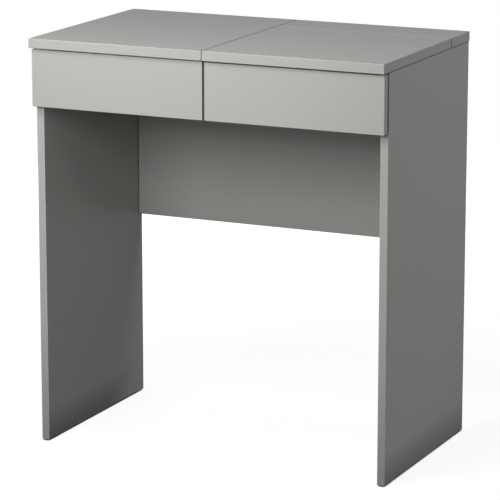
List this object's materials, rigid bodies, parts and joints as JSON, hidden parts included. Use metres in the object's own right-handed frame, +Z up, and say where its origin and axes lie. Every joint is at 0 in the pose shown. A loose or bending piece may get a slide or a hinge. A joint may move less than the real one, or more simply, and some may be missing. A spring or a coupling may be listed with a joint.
{
  "type": "vanity table",
  "caption": "Grey board vanity table with a flip-up mirror lid over a storage well, a drawer on roller runners beside it, side panels for legs and a high back panel.",
  "frame": {"origin": "centre of the footprint on the floor, under the glides", "axes": "+X to the right seen from the front, -Y to the front, +Z up"},
  "size_m": [0.7, 0.42, 0.77],
  "materials": {
    "grey_foil": "satin grey foil on board",
    "inner_foil": "matt grey foil on board",
    "hardboard": "matt grey printed hardboard",
    "beech": "raw beech",
    "mirror": "silvered glass",
    "foam_tape": "foam tape",
    "nylon": "white nylon",
    "dark_plastic": "dark grey plastic",
    "coated_steel": "white epoxy coat",
    "zinc": "bright zinc plate"
  },
  "bodies": {
    "carcass": {"side_left": "grey_foil", "side_right": "grey_foil", "top_left": "grey_foil", "top_strip": "grey_foil", "back_panel": "grey_foil", "partition": "inner_foil", "well_floor": "inner_foil", "drawer_rail": "inner_foil", "hinge_rail": "inner_foil", "well_front": "grey_foil", "glides": "dark_plastic", "dowels": "beech", "cam_bolts": "zinc", "cams": "zinc", "runner_cabinet_left": "coated_steel", "runner_cabinet_right": "coated_steel", "runner_screws": "zinc", "hinge_leaves_rear": "zinc", "hinge_screws_rear": "zinc"},
    "lid": {"lid": "grey_foil", "mirror_glass": "mirror", "mirror_tape": "foam_tape", "mirror_clips": "nylon", "clip_screws": "zinc", "hinge_leaves_lid": "zinc", "hinge_screws_lid": "zinc"},
    "drawer": {"drawer_front": "grey_foil", "drawer_side_left": "inner_foil", "drawer_side_right": "inner_foil", "drawer_back": "inner_foil", "drawer_bottom": "hardboard", "drawer_dowels": "beech", "drawer_bolts": "zinc", "drawer_cams": "zinc", "drawer_pads": "nylon", "drawer_screws": "zinc", "runner_drawer_left": "coated_steel", "runner_drawer_right": "coated_steel"},
    "hinge_links_rear": {"hinge_links_rear": "zinc"},
    "hinge_links_lid": {"hinge_links_lid": "zinc"},
    "roller_front_left": {"roller_front_left": "nylon"},
    "roller_rear_left": {"roller_rear_left": "nylon"},
    "roller_front_right": {"roller_front_right": "nylon"},
    "roller_rear_right": {"roller_rear_right": "nylon"}
  },
  "joints": [
    {"name": "lid_hinge", "type": "hinge", "parent": "carcass", "child": "lid", "pos_m": [0.175, 0.116, 0.77], "axis": [-1, 0, 0], "range_deg": [0, 105]},
    {"name": "rear_links", "type": "hinge", "parent": "carcass", "child": "hinge_links_rear", "pos_m": [0.175, 0.121, 0.7615], "axis": [-1, 0, 0], "range_deg": [0, 49]},
    {"name": "lid_links", "type": "hinge", "parent": "lid", "child": "hinge_links_lid", "pos_m": [0.175, 0.111, 0.7615], "axis": [-1, 0, 0], "range_deg": [-49, 0]},
    {"name": "drawer_slide", "type": "slide", "parent": "carcass", "child": "drawer", "axis": [0, -1, 0], "range_m": [0, 0.26]},
    {"name": "roller_front_left_spin", "type": "hinge", "parent": "carcass", "child": "roller_front_left", "pos_m": [-0.32925, -0.168, 0.6747], "axis": [1, 0, 0], "continuous": true},
    {"name": "roller_rear_left_spin", "type": "hinge", "parent": "drawer", "child": "roller_rear_left", "pos_m": [-0.32775, 0.144, 0.6728], "axis": [1, 0, 0], "continuous": true},
    {"name": "roller_front_right_spin", "type": "hinge", "parent": "carcass", "child": "roller_front_right", "pos_m": [-0.01225, -0.168, 0.6747], "axis": [1, 0, 0], "continuous": true},
    {"name": "roller_rear_right_spin", "type": "hinge", "parent": "drawer", "child": "roller_rear_right", "pos_m": [-0.01375, 0.144, 0.6728], "axis": [1, 0, 0], "continuous": true}
  ],
  "couplings": [
    {"joint": "rear_links", "follows": "lid_hinge", "ratio": 0.46},
    {"joint": "lid_links", "follows": "lid_hinge", "ratio": -0.46},
    {"joint": "roller_front_left_spin", "follows": "drawer_slide", "rad_per_m": 117.65},
    {"joint": "roller_rear_left_spin", "follows": "drawer_slide", "rad_per_m": 117.65},
    {"joint": "roller_front_right_spin", "follows": "drawer_slide", "rad_per_m": 117.65},
    {"joint": "roller_rear_right_spin", "follows": "drawer_slide", "rad_per_m": 117.65}
  ]
}
